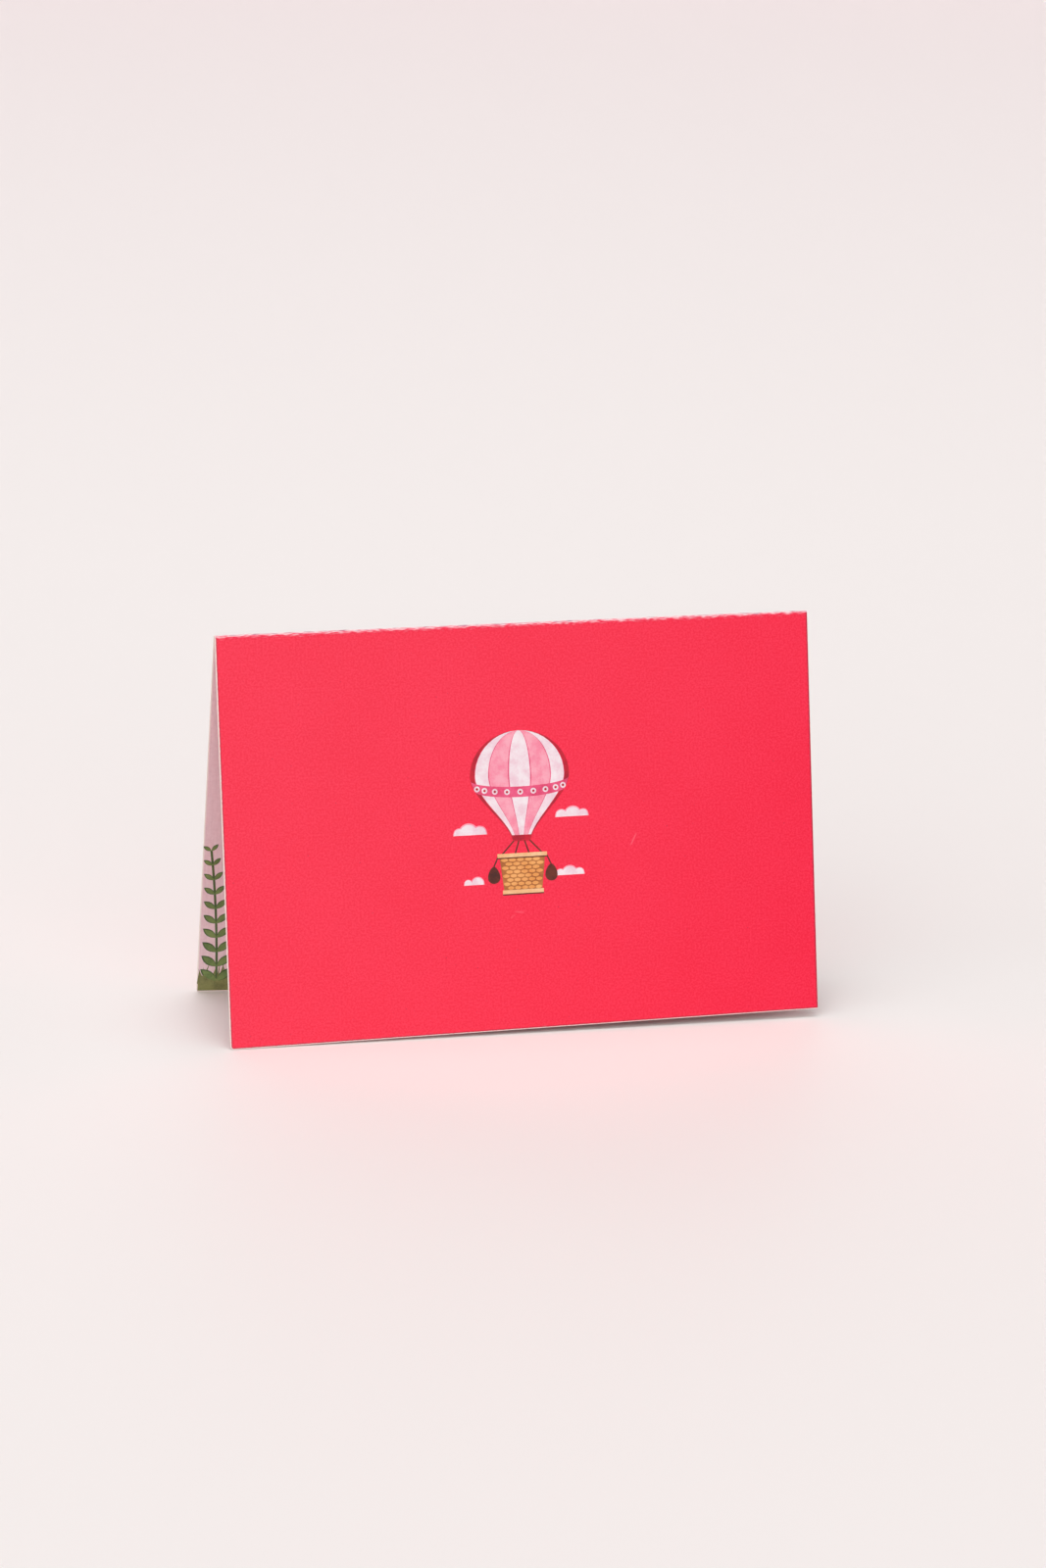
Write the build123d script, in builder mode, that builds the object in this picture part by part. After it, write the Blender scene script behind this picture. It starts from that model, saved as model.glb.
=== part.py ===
"""Landscape greeting card: one printed sheet, folded once along its top and standing as a tent.

The crease runs along X, the front panel faces -Y, and the card stands on Z = 0.
Both panels lean alike at the left end, where both lower corners are on the table.
Towards the right the back panel stands more upright, with its lower edge on the table all along.
So the crease rises to the right, and the flat front panel lifts its lower right corner with it.
"""

import math
import os

from build123d import *

# Driving dimensions, in millimetres and degrees
card_width = 150.0  # along the crease
panel_height = 100.0  # along the sheet, from the middle of the crease to the lower edge
card_thickness = 0.5  # coated card of about 400 g/m2
crease_inner_radius = 0.3  # inside of the fold
panel_lean = 12.4  # lean of both panels from upright at the left end, and of the front all along
back_right_lean = 4.0  # lean of the back panel at the right end

# The folded sheet: crease radii, and the straight part of a panel below its half of the crease
crease_mid_radius = crease_inner_radius + card_thickness / 2
crease_outer_radius = crease_inner_radius + card_thickness
leg_length = panel_height - crease_mid_radius * math.radians(90 - panel_lean)


def drop(lean):
    """Distance along a section, from the crease axis down to the lowest corner of a panel's cut edge."""
    angle = math.radians(lean)
    return leg_length * math.cos(angle) - crease_inner_radius * math.sin(angle)


# Slope of the crease, which keeps the back lower edge on the table at both ends
slope = math.atan2(drop(back_right_lean) - drop(panel_lean), card_width)
crease_direction = Vector(math.cos(slope), 0, math.sin(slope))

# Left end of the crease axis, with the whole card centred on X = 0
overall_width = card_width * math.cos(slope)
overall_width += (crease_outer_radius + drop(back_right_lean)) * math.sin(slope)
crease_left = Vector(
    crease_outer_radius * math.sin(slope) - overall_width / 2,
    0,
    drop(panel_lean) * math.cos(slope),
)
crease_right = crease_left + crease_direction * card_width


def panel_section(crease_point, lean, side):
    """Section of one panel and its half of the crease; side is 1 at the back and -1 at the front."""
    angle = math.radians(lean)
    shoulder = Vector(side * math.cos(angle), math.sin(angle)) * crease_mid_radius
    foot = shoulder + Vector(side * math.sin(angle), -math.cos(angle)) * leg_length
    square_to_crease = Plane(crease_point, x_dir=(0, 1, 0), z_dir=crease_direction)
    with BuildSketch(square_to_crease) as section:
        with BuildLine():
            leg = Line(foot, shoulder)
            TangentArc(shoulder, (0, crease_mid_radius), tangent=leg % 1)
        trace(line_width=card_thickness)
    return section.sketch


with BuildPart() as card:
    # Flat front panel
    extrude(panel_section(crease_left, panel_lean, -1), amount=card_width)
    # Back panel, slightly twisted between its two ends
    back_ends = [
        panel_section(crease_left, panel_lean, 1),
        panel_section(crease_right, back_right_lean, 1),
    ]
    loft(back_ends, ruled=True)

card.part.label = "card"

os.makedirs("parts", exist_ok=True)
export_step(card.part, "parts/card.step")
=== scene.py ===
import math

import bpy
import numpy as np
from mathutils import Matrix, Vector, noise


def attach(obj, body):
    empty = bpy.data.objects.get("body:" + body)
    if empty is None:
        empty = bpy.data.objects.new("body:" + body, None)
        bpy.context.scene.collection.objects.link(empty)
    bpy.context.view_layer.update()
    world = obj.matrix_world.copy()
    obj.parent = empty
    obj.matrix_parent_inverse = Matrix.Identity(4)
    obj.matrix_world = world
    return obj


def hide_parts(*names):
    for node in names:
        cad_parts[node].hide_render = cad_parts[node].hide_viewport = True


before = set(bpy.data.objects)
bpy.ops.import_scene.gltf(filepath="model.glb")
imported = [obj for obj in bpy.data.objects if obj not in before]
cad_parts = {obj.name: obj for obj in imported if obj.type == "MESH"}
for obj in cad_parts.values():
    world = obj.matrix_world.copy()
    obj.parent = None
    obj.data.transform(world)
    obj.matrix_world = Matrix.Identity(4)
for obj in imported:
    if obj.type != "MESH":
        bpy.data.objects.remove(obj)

scene = bpy.context.scene
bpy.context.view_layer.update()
mm = 0.001  # sizes below are millimetres, Blender's are metres


def linearColour(hexCode):
    # sRGB hex to the linear RGBA that a shader takes
    shares = [int(hexCode[i:i + 2], 16) / 255 for i in (1, 3, 5)]
    linear = [c / 12.92 if c <= 0.04045 else ((c + 0.055) / 1.055) ** 2.4 for c in shares]
    return (*linear, 1.0)


def addNode(tree, kind, inputs=None, stops=None, **settings):
    # one node: its settings, then its inputs. An input is a value, a hex colour, another node's socket,
    # or another node for its first socket.
    node = tree.nodes.new(kind)
    for name, value in settings.items():
        setattr(node, name, value)
    for key, value in (inputs or {}).items():
        source = value.outputs[0] if isinstance(value, bpy.types.Node) else value
        if isinstance(source, bpy.types.NodeSocket):
            tree.links.new(source, node.inputs[key])
        else:
            node.inputs[key].default_value = linearColour(value) if isinstance(value, str) else value
    for place, hexCode in stops or []:  # colour ramps only
        ramp = node.color_ramp.elements
        stop = ramp[0] if place == 0 else ramp[-1] if place == 1 else ramp.new(place)
        stop.color = linearColour(hexCode)
    return node


def startMaterial(name):
    material = bpy.data.materials.new(name)
    material.use_nodes = True
    material.node_tree.nodes.clear()
    return material, material.node_tree


def newPiece(name, verts, faces, materials, faceMaterials, smoothAngle=30):
    mesh = bpy.data.meshes.new(name)
    mesh.from_pydata(verts, [], faces)
    for material in materials:
        mesh.materials.append(material)
    mesh.polygons.foreach_set("material_index", faceMaterials)
    mesh.shade_smooth()
    mesh.set_sharp_from_angle(angle=math.radians(smoothAngle))
    piece = bpy.data.objects.new(name, mesh)
    scene.collection.objects.link(piece)
    return piece


# The folded sheet. Places on it are flat: x along the fold from its middle, and v across the fold,
# from -100 at the front's lower edge through 0 at the fold to 100 at the back's lower edge.
cardSheet = {
    "width": 150.0,  # along the fold
    "panel": 100.0,  # middle of the fold to a lower edge
    "thickness": 0.5,
    "innerRadius": 0.3,  # inside of the fold
    "lean": 12.4,  # degrees, both panels at the left end and the front all along
    "backRightLean": 4.0,  # degrees, back panel at the right end
    "columnPitch": 0.375,
    "rowPitch": 6.0,
    "foldRowPitch": 0.07,
    "foldBand": 1.2,  # half the band with close rows
    "widerSteps": (0.4, 1.2, 3.0),  # rows just beyond that band
    "edgeSteps": (0.0, 0.1, 0.2, 0.35, 0.5, 0.75, 1.0),  # closer rows and columns at the cut edges
    "cornerRadius": 0.3,
    "wornCornerRadius": 0.8,  # lower left corner of the front
    "wornDepth": 0.03,  # how deep the cracked coat has come off the fold
    "wornWear": (0.46, 0.62),  # wear at which the coat starts to come off, and is gone
}

halfWidth = cardSheet["width"] / 2
panel = cardSheet["panel"]
halfThick = cardSheet["thickness"] / 2
midRadius = cardSheet["innerRadius"] + halfThick
outerRadius = cardSheet["innerRadius"] + cardSheet["thickness"]
foldArc = midRadius * math.radians(90 - cardSheet["lean"])  # a panel's share of the fold
leg = panel - foldArc


def footDrop(lean):
    # from the fold's axis down to the lowest corner of a panel's cut edge
    angle = math.radians(lean)
    return leg * math.cos(angle) - cardSheet["innerRadius"] * math.sin(angle)


leftDrop = footDrop(cardSheet["lean"])
rightDrop = footDrop(cardSheet["backRightLean"])
slope = math.atan2(rightDrop - leftDrop, cardSheet["width"])  # the fold rises to the right
foldAlong = np.array([math.cos(slope), 0, math.sin(slope)])
foldUp = np.array([-math.sin(slope), 0, math.cos(slope)])
overallWidth = cardSheet["width"] * math.cos(slope) + (outerRadius + rightDrop) * math.sin(slope)
foldLeft = np.array([outerRadius * math.sin(slope) - overallWidth / 2, 0, leftDrop * math.cos(slope)])


def endSection(v, lift, lean):
    # one end of the sheet: across and up from the fold's axis
    angle = np.radians(lean)
    distance = np.abs(v)
    turn = np.clip(distance / foldArc, 0, 1) * (math.pi / 2 - angle)
    straight = np.clip(distance - foldArc, 0, None)
    across = (midRadius + lift) * np.sin(turn) + straight * np.sin(angle)
    up = (midRadius + lift) * np.cos(turn) - straight * np.cos(angle)
    return np.where(v < 0, -across, across), up


def smoothShare(value, low, high):
    share = np.clip((value - low) / (high - low), 0, 1)
    return share * share * (3 - 2 * share)


def foldedPoints(x, v, lift):
    # flat places, with their lift from the middle of the sheet, to points of the standing card in metres
    share = x / cardSheet["width"] + 0.5
    leftAcross, leftUp = endSection(v, lift, np.full_like(v, cardSheet["lean"]))
    rightLean = np.where(v < 0, cardSheet["lean"], cardSheet["backRightLean"])
    rightAcross, rightUp = endSection(v, lift, rightLean)
    across = leftAcross + share * (rightAcross - leftAcross)
    up = leftUp + share * (rightUp - leftUp)
    points = foldLeft + np.outer(x + halfWidth, foldAlong) + np.outer(up, foldUp)
    points[:, 1] += across
    return points * mm


def layOnPanel(mesh, side, facing, origin=(0.0, 0.0)):
    # bends a flat print onto a panel: mesh x along the fold, y up towards the fold, z off the paper
    flat = np.array([vertex.co for vertex in mesh.vertices])
    x = flat[:, 0] + origin[0]
    v = -side * (flat[:, 1] + origin[1])
    lift = facing * (halfThick + flat[:, 2])
    mesh.vertices.foreach_set("co", foldedPoints(x, v, lift).ravel())
    mesh.update()


# Cracked coat along the fold: fine streaks of bare board, close together on the crest and thinning out
# down the panels
foldCrack = {
    "crest": 0.64,  # wear of the coat at the crest
    "fall": 0.215,  # how much less for each millimetre from the crest
    "patchSize": (4.0, 0.7),  # along and across the fold
    "patchShare": 0.05,
    "patchSlice": 3.1,  # where the noise of the patches is cut
    "reach": 2.2,  # no wear beyond this distance from the crest
}


def foldWear(x, v):
    # tendency of the coat to crack at each place of the outside
    wear = np.zeros(len(x))
    apart = np.abs(v)
    outside = np.minimum(apart, foldArc) * outerRadius / midRadius + np.maximum(apart - foldArc, 0)
    alongSize, acrossSize = foldCrack["patchSize"]
    for i in np.nonzero(outside < foldCrack["reach"])[0]:
        along, across = float(x[i]), float(outside[i] * np.sign(v[i]))
        patch = noise.noise((along / alongSize, across / acrossSize, foldCrack["patchSlice"]))
        fade = foldCrack["crest"] - foldCrack["fall"] * abs(across)
        wear[i] = fade + foldCrack["patchShare"] * patch
    return np.clip(wear, 0, 1)


def gradedColumns():
    steps = np.array(cardSheet["edgeSteps"])
    reach = halfWidth - steps[-1]
    middle = np.linspace(-reach, reach, round(2 * reach / cardSheet["columnPitch"]) + 1)
    ends = halfWidth - steps[:-1]
    return np.concatenate([-ends, middle, ends[::-1]])


def gradedRows():
    steps = np.array(cardSheet["edgeSteps"])
    band = cardSheet["foldBand"]
    close = np.linspace(0, band, round(band / cardSheet["foldRowPitch"]) + 1)
    wider = band + np.array(cardSheet["widerSteps"])
    reach = panel - steps[-1]
    even = np.linspace(wider[-1], reach, round((reach - wider[-1]) / cardSheet["rowPitch"]) + 1)
    half = np.concatenate([close, wider[:-1], even, panel - steps[:-1][::-1]])
    return np.concatenate([-half[:0:-1], half])


def wornOutline(x, v):
    # rounds the cut corners
    x, v = x.copy(), v.copy()
    for atX in (-1, 1):
        for atV in (-1, 1):
            worn = atX == -1 and atV == -1
            radius = cardSheet["wornCornerRadius" if worn else "cornerRadius"]
            a = (atX * x - (halfWidth - radius)) / radius
            b = (atV * v - (panel - radius)) / radius
            corner = (a > 0) & (b > 0)
            pull = np.maximum(a[corner], b[corner]) / np.hypot(a[corner], b[corner])
            x[corner] = atX * (halfWidth - radius + radius * a[corner] * pull)
            v[corner] = atV * (panel - radius + radius * b[corner] * pull)
    return x, v


def makeCardSheet(materials):
    columns, rows = gradedColumns(), gradedRows()
    columnCount, rowCount = len(columns), len(rows)
    gridX, gridV = (grid.ravel() for grid in np.meshgrid(columns, rows))
    x, v = wornOutline(gridX, gridV)
    wear = foldWear(x, v)
    gone = smoothShare(wear, *cardSheet["wornWear"])
    outer = foldedPoints(x, v, halfThick - cardSheet["wornDepth"] * gone)
    inner = foldedPoints(x, v, np.full_like(x, -halfThick))
    points = np.concatenate([outer, inner])
    count = len(x)
    faces, kinds = [], []
    outsideSlot, backInsideSlot, cutSlot, frontInsideSlot = range(4)
    for i in range(rowCount - 1):
        for j in range(columnCount - 1):
            a = i * columnCount + j
            quad = (a, a + 1, a + columnCount + 1, a + columnCount)
            faces += [quad, tuple(count + k for k in reversed(quad))]
            kinds += [outsideSlot, frontInsideSlot if rows[i] < 0 else backInsideSlot]
        for a, end in ((i * columnCount, 0), ((i + 1) * columnCount - 1, 1)):
            b = a + columnCount
            edge = (a, b, count + b, count + a)
            faces.append(edge if end == 0 else edge[::-1])
            kinds.append(cutSlot)
    lastRow = (rowCount - 1) * columnCount
    for j in range(columnCount - 1):
        for a, end in ((j, 0), (lastRow + j, 1)):
            edge = (a, count + a, count + a + 1, a + 1)
            faces.append(edge if end == 0 else edge[::-1])
            kinds.append(cutSlot)
    piece = newPiece("cardSheet", points, faces, materials, kinds)
    mesh = piece.data
    # the flat sheet as a UV map, and the wear of the fold as an attribute
    uv = np.stack([gridX / cardSheet["width"] + 0.5, gridV / (2 * panel) + 0.5], 1)
    corners = np.zeros(len(mesh.loops), np.int32)
    mesh.loops.foreach_get("vertex_index", corners)
    layer = mesh.uv_layers.new(name="flatSheet")
    layer.uv.foreach_set("vector", np.concatenate([uv, uv])[corners].astype(np.float32).ravel())
    attribute = mesh.attributes.new("foldWear", "FLOAT", "POINT")
    attribute.data.foreach_set("value", np.concatenate([wear, np.zeros(count)]).astype(np.float32))
    return piece


def flatMillimetres(tree):
    # the sheet's UV map in millimetres, with its fold at y = 100
    uvMap = addNode(tree, "ShaderNodeUVMap", uv_map="flatSheet")
    size = (cardSheet["width"], 2 * panel, 1.0)
    return addNode(tree, "ShaderNodeMapping", {"Vector": uvMap, "Scale": size})


rimSwing, rimEnd = 0.8, 1.6  # shares of a rim's width: how far its chips swing, and where it has faded out
strokeFlat = (0.3, 0.0)  # shares of a stroke's length and width that have its full strength


def rimMask(tree, flat, rim):
    # 1 on the strip of print beside each cut edge, where the blade has chipped it
    split = addNode(tree, "ShaderNodeSeparateXYZ", {0: flat})
    ragged = addNode(tree, "ShaderNodeTexNoise", {
        "Vector": flat, "Scale": 1 / rim["chipSize"], "Detail": 2.0})
    sides = [(0, 0.0, rim["left"]), (0, cardSheet["width"], rim["right"]), (1, 0.0, rim["lower"]),
             (1, 2 * panel, rim["lower"])]
    mask = 0.0
    for axis, place, wide in sides:
        apart = addNode(tree, "ShaderNodeMath", {0: split.outputs[axis], 1: place}, operation="SUBTRACT")
        inward = addNode(tree, "ShaderNodeMath", {0: apart}, operation="ABSOLUTE")
        swung = addNode(tree, "ShaderNodeMath", {
            0: ragged, 1: rimSwing * wide, 2: inward}, operation="MULTIPLY_ADD")
        limits = {"Value": swung, "From Min": wide, "From Max": rimEnd * wide, "To Min": 1.0, "To Max": 0.0}
        share = addNode(tree, "ShaderNodeMapRange", limits, interpolation_type="SMOOTHSTEP")
        mask = addNode(tree, "ShaderNodeMath", {0: share, 1: mask}, operation="MAXIMUM")
    return mask


def strokeMask(tree, flat, stroke):
    # a soft short stroke on the flat sheet, such as a scratch
    turn = math.radians(stroke["turn"])
    mapping = addNode(tree, "ShaderNodeMapping", {
        "Vector": flat, "Location": (*stroke["place"], 0.0), "Rotation": (0.0, 0.0, turn),
        "Scale": (stroke["length"] / 2, stroke["width"] / 2, 1.0)}, vector_type="TEXTURE")
    apart = addNode(tree, "ShaderNodeVectorMath", {0: mapping}, operation="ABSOLUTE")
    split = addNode(tree, "ShaderNodeSeparateXYZ", {0: apart})
    mask = stroke["strength"]
    for k, low in enumerate(strokeFlat):
        share = addNode(tree, "ShaderNodeMapRange", {
            "Value": split.outputs[k], "From Min": low, "From Max": 1.0, "To Min": 1.0, "To Max": 0.0},
            interpolation_type="SMOOTHSTEP")
        mask = addNode(tree, "ShaderNodeMath", {0: share, 1: mask}, operation="MULTIPLY")
    return mask


# Outside: coated card printed edge to edge in coral by offset, with a satin varnish. It gives a strong even
# colour with a fine mottle, a few dark pinholes and a broad soft sheen.
coralPrint = {
    "ink": "#ff2e51",
    "inkDeep": "#f91a3f",
    "mottleSize": 0.5,  # print screen is 0.15 mm, drawn coarser so that it shows
    "cloudSize": 22.0,
    "cloudShare": 0.15,
    "spread": (0.45, 0.7),  # of the mottle, from one ink tone to the other
    "pinhole": "#cc2042",
    "pinholeSpacing": 2.6,
    "pinholeSize": 0.18,
    "pinholeCore": 0.4,  # share of a pinhole that is fully dark
    "pinholeChance": 0.35,  # share of the cells without one
    "roughness": 0.18,
    "bareRoughness": 0.8,
    "ior": 1.48,
    "toothSize": 0.35,
    "toothDepth": 0.02,
    "toothStrength": 0.12,
    "scuff": "#ff7086",
    "bare": "#fbe4df",
    "rim": {"chipSize": 0.6, "left": 0.23, "right": 0.03, "lower": 0.18},
    "pressed": "#c4223f",  # painted shade: a darker line along the cut edges
    "edgeShadeRim": {"chipSize": 0.6, "left": 0.5, "right": 0.42, "lower": 0.44},
    "crumbSize": (1.8, 0.22),  # along and across the fold
    "crumbShare": 0.5,
    "crackFrom": (0.33, 0.6),  # wear and crumbs at which the coat starts to crack, and is all cracked
    # the darkest tones, at the borders of the flecks, are painted shade in the cracks; the paler ones are
    # bare board
    "crackWearAndShadeTones": [(0, "#9a3c5c"), (0.38, "#bc5674"), (0.44, "#f08ca0"), (0.5, "#f9b4bf"), (0.6, "#fde0e2"),
                   (1, "#fff4f1")],
    "crease": "#b9788e",  # painted shade in fine creases on the crest of the fold
    "creaseSize": (3.0, 0.2),
    "creaseFrom": (0.52, 0.64),  # of their noise
    "crestFrom": (0.46, 0.56),  # wear at which creases begin, and are at their full strength
    "scuffs": [
        {"place": (103.0, 45.3), "turn": 62.0, "length": 4.4, "width": 0.6, "strength": 0.6},
        {"place": (73.3, 29.0), "turn": -8.0, "length": 3.0, "width": 0.8, "strength": 0.35},
        {"place": (71.5, 28.0), "turn": 35.0, "length": 2.0, "width": 0.5, "strength": 0.25},
        {"place": (78.6, 0.1), "turn": 0.0, "length": 1.6, "width": 0.9, "strength": 1.0},
        {"place": (122.0, 0.0), "turn": 0.0, "length": 90.0, "width": 0.9, "strength": 1.0},
    ],
}


def makeCoralPrint():
    material, tree = startMaterial("coatedCardCoralOffset")
    look = coralPrint
    flat = flatMillimetres(tree)
    mottle, cloud, tooth = (
        addNode(tree, "ShaderNodeTexNoise", {"Vector": flat, "Scale": 1 / look[key], "Detail": detail})
        for key, detail in (("mottleSize", 2.0), ("cloudSize", 2.0), ("toothSize", 3.0)))
    both = addNode(tree, "ShaderNodeMath", {
        0: cloud, 1: look["cloudShare"], 2: mottle}, operation="MULTIPLY_ADD")
    low, high = look["spread"]
    inkShare = addNode(tree, "ShaderNodeMapRange", {"Value": both, "From Min": low, "From Max": high})
    colour = addNode(tree, "ShaderNodeMix", {
        0: inkShare, 6: look["ink"], 7: look["inkDeep"]}, data_type="RGBA").outputs[2]
    # pinholes: up to one in each cell of a Voronoi pattern, of uneven strength
    cells = addNode(tree, "ShaderNodeTexVoronoi", {"Vector": flat, "Scale": 1 / look["pinholeSpacing"]})
    holeShare = look["pinholeSize"] / look["pinholeSpacing"]
    holeMask = addNode(tree, "ShaderNodeMapRange", {
        "Value": cells.outputs["Distance"], "From Min": look["pinholeCore"] * holeShare,
        "From Max": holeShare, "To Min": 1.0, "To Max": 0.0})
    chance = addNode(tree, "ShaderNodeSeparateColor", {0: cells.outputs["Color"]})
    uneven = addNode(tree, "ShaderNodeMapRange", {
        "Value": chance.outputs[0], "From Min": look["pinholeChance"]})
    holes = addNode(tree, "ShaderNodeMath", {0: holeMask, 1: uneven}, operation="MULTIPLY")
    layers = [(holes, look["pinhole"])]  # colours over the ink, from the lowest up
    for stroke in look["scuffs"]:
        tint = look["bare"] if stroke["strength"] == 1 else look["scuff"]
        layers.append((strokeMask(tree, flat, stroke), tint))
    # painted shade in a darker line beside the cut edges, and bare board on their rims and along the
    # cracked fold
    rim = rimMask(tree, flat, look["rim"])
    layers.append((rimMask(tree, flat, look["edgeShadeRim"]), look["pressed"]))
    layers.append((rim, look["bare"]))
    wear = addNode(tree, "ShaderNodeAttribute", attribute_name="foldWear").outputs["Fac"]
    streaks = []
    for along, across in (look["crumbSize"], look["creaseSize"]):
        place = addNode(tree, "ShaderNodeMapping", {"Vector": flat, "Scale": (1 / along, 1 / across, 1.0)})
        streaks.append(addNode(tree, "ShaderNodeTexNoise", {"Vector": place, "Scale": 1.0, "Detail": 1.0}))
    crumbs, creases = streaks
    centred = addNode(tree, "ShaderNodeMath", {0: crumbs, 1: 0.5}, operation="SUBTRACT")
    crack = addNode(tree, "ShaderNodeMath", {
        0: centred, 1: look["crumbShare"], 2: wear}, operation="MULTIPLY_ADD")
    low, high = look["crackFrom"]
    crackShare = addNode(tree, "ShaderNodeMapRange", {
        "Value": crack, "From Min": low, "From Max": high}, interpolation_type="SMOOTHSTEP")
    # bare board of the cracked coat, with painted shade in the cracks at the borders of the flecks
    crackWearAndShadeColour = addNode(tree, "ShaderNodeValToRGB", {0: crack}, stops=look["crackWearAndShadeTones"])
    layers.append((crackShare, crackWearAndShadeColour))
    low, high = look["creaseFrom"]
    creased = addNode(tree, "ShaderNodeMapRange", {"Value": creases, "From Min": low, "From Max": high})
    low, high = look["crestFrom"]
    onCrest = addNode(tree, "ShaderNodeMapRange", {"Value": wear, "From Min": low, "From Max": high})
    # painted shade in the creases, only on the crest
    creaseShare = addNode(tree, "ShaderNodeMath", {0: creased, 1: onCrest}, operation="MULTIPLY")
    layers.append((creaseShare, look["crease"]))
    for mask, tint in layers:
        colour = addNode(tree, "ShaderNodeMix", {0: mask, 6: colour, 7: tint}, data_type="RGBA").outputs[2]
    bare = addNode(tree, "ShaderNodeMath", {0: rim, 1: crackShare}, operation="MAXIMUM")
    rough = addNode(tree, "ShaderNodeMapRange", {
        "Value": bare, "To Min": look["roughness"], "To Max": look["bareRoughness"]})
    bump = addNode(tree, "ShaderNodeBump", {
        "Strength": look["toothStrength"], "Distance": look["toothDepth"] * mm, "Height": tooth})
    shader = addNode(tree, "ShaderNodeBsdfPrincipled", {
        "Base Color": colour, "Roughness": rough, "IOR": look["ior"], "Normal": bump})
    addNode(tree, "ShaderNodeOutputMaterial", {"Surface": shader})
    return material


# Inside: the same card without varnish, so it is duller and slightly fibrous. It is pale mauve on the back
# panel and coral on the front panel, whose light tints the floor inside the tent.
mauvePrint = {
    "ink": "#f2d9de",
    "inkDeep": "#e8cbd1",
    "mottleSize": 0.9,
    "fibreSize": (0.5, 6.0),  # along and across the fold
    "fibreDepth": 0.03,
    "fibreStrength": 0.15,
    "spread": (0.7, 1.3),
    "roughness": 0.58,
    "ior": 1.45,
    "bare": "#f8ece8",
    "rim": {"chipSize": 0.6, "left": 0.3, "right": 0.3, "lower": 0.2},
}
insideCoral = {**mauvePrint, "ink": "#f23a4c", "inkDeep": "#e62c40"}


def makeInsidePrint(name, look):
    material, tree = startMaterial(name)
    flat = flatMillimetres(tree)
    mottle = addNode(tree, "ShaderNodeTexNoise", {
        "Vector": flat, "Scale": 1 / look["mottleSize"], "Detail": 2.0})
    along, across = look["fibreSize"]
    place = addNode(tree, "ShaderNodeMapping", {"Vector": flat, "Scale": (1 / along, 1 / across, 1.0)})
    fibre = addNode(tree, "ShaderNodeTexNoise", {"Vector": place, "Scale": 1.0, "Detail": 2.0})
    both = addNode(tree, "ShaderNodeMath", {0: mottle, 1: fibre}, operation="ADD")
    low, high = look["spread"]
    inkShare = addNode(tree, "ShaderNodeMapRange", {"Value": both, "From Min": low, "From Max": high})
    colour = addNode(tree, "ShaderNodeMix", {
        0: inkShare, 6: look["ink"], 7: look["inkDeep"]}, data_type="RGBA").outputs[2]
    rim = rimMask(tree, flat, look["rim"])
    colour = addNode(tree, "ShaderNodeMix", {
        0: rim, 6: colour, 7: look["bare"]}, data_type="RGBA").outputs[2]
    bump = addNode(tree, "ShaderNodeBump", {
        "Strength": look["fibreStrength"], "Distance": look["fibreDepth"] * mm, "Height": fibre})
    shader = addNode(tree, "ShaderNodeBsdfPrincipled", {
        "Base Color": colour, "Roughness": look["roughness"], "IOR": look["ior"], "Normal": bump})
    addNode(tree, "ShaderNodeOutputMaterial", {"Surface": shader})
    return material


# Cut edge: bare board, guillotined, so it is white, matt and slightly layered.
cutCore = {
    "core": "#f7eee4",
    "coreShade": "#e8d9c8",
    "layerSize": 0.12,
    "layerDepth": 0.03,
    "layerStrength": 0.4,
    "roughness": 0.85,
    "ior": 1.45,
}


def makeCutCore():
    material, tree = startMaterial("cardBoardCutCore")
    look = cutCore
    place = addNode(tree, "ShaderNodeTexCoord").outputs["Object"]
    fibre = addNode(tree, "ShaderNodeTexNoise", {
        "Vector": place, "Scale": 1 / (look["layerSize"] * mm), "Detail": 3.0})
    colour = addNode(tree, "ShaderNodeMix", {
        0: fibre, 6: look["core"], 7: look["coreShade"]}, data_type="RGBA").outputs[2]
    bump = addNode(tree, "ShaderNodeBump", {
        "Strength": look["layerStrength"], "Distance": look["layerDepth"] * mm, "Height": fibre})
    shader = addNode(tree, "ShaderNodeBsdfPrincipled", {
        "Base Color": colour, "Roughness": look["roughness"], "IOR": look["ior"], "Normal": bump})
    addNode(tree, "ShaderNodeOutputMaterial", {"Surface": shader})
    return material


# Picture inks: process colours on coated card, laid like a wash, so each one pools darker in soft patches
pictureInks = {
    "blushWhite": ("#fbeef3", "#f3cfdc"),
    "petalPink": ("#ffb0c2", "#fb86a3"),
    "rosePink": ("#f5608c", "#e23f6c"),
    "carmine": ("#d0102f", "#a80a2a"),
    "sandTan": ("#fbd0a0", "#f3b67c"),
    "honeyTan": ("#f6b46c", "#e8974a"),
    "caneBrown": ("#c47a3e", "#a45c2a"),
    "chestnut": ("#6e2c1a", "#431710"),
    "fernLight": ("#7f9756", "#5d7a42"),
    "fernGreen": ("#56703c", "#3f5830"),
    "mossOlive": ("#8c9058", "#6c7044"),
}
washLook = {
    "patchSize": 3.0,
    "grainSize": 0.45,
    "grainShare": 0.35,
    "pooling": (0.45, 0.95),  # of the noise, from the light tone to the deep one
    "roughness": 0.45,
    "ior": 1.48,
}


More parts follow.
